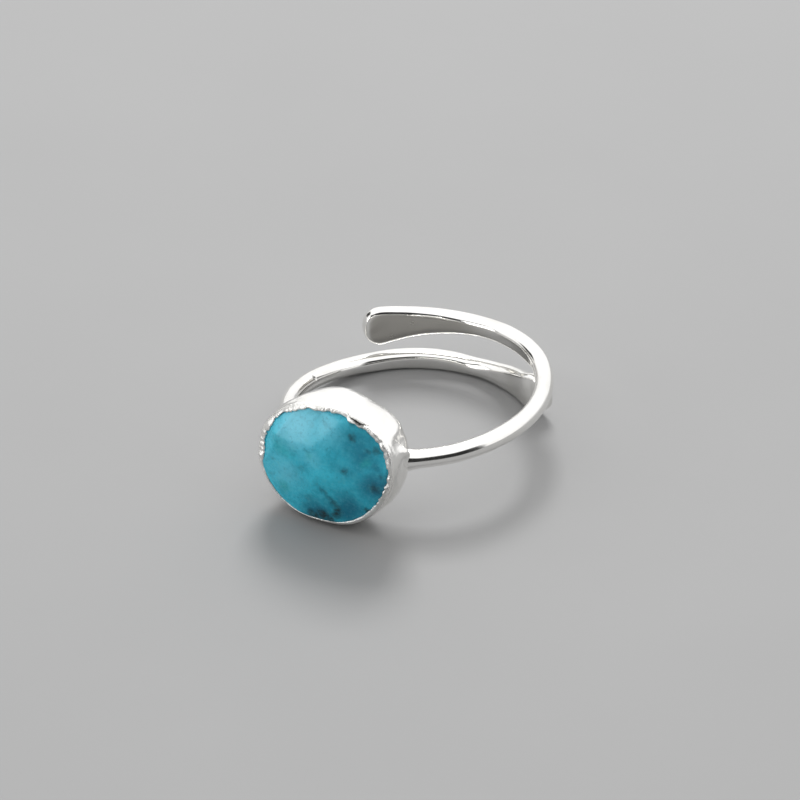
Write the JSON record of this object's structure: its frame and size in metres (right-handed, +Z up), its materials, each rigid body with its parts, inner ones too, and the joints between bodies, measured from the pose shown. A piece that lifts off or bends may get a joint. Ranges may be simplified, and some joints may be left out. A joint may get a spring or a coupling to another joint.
{
  "type": "gemstone ring",
  "caption": "Adjustable wrap ring of round polished silver wire with flattened, overlapping ends and a faceted turquoise in a soft, lumpy cup, lying on its side.",
  "frame": {"origin": "the floor under the middle of the ring's box, as the ring lies on its side", "axes": "+Z up, along the finger's axis; -Y out of the stone's face; +X along the band, to the right of someone who looks at the stone"},
  "size_m": [0.021, 0.0252, 0.0107],
  "materials": {
    "silver": "polished silver, lightly plated over the cup",
    "turquoise": "polished, faceted, with dark veins and specks"
  },
  "bodies": {
    "root": {"shank_and_setting": "silver", "stone": "turquoise"}
  },
  "joints": []
}
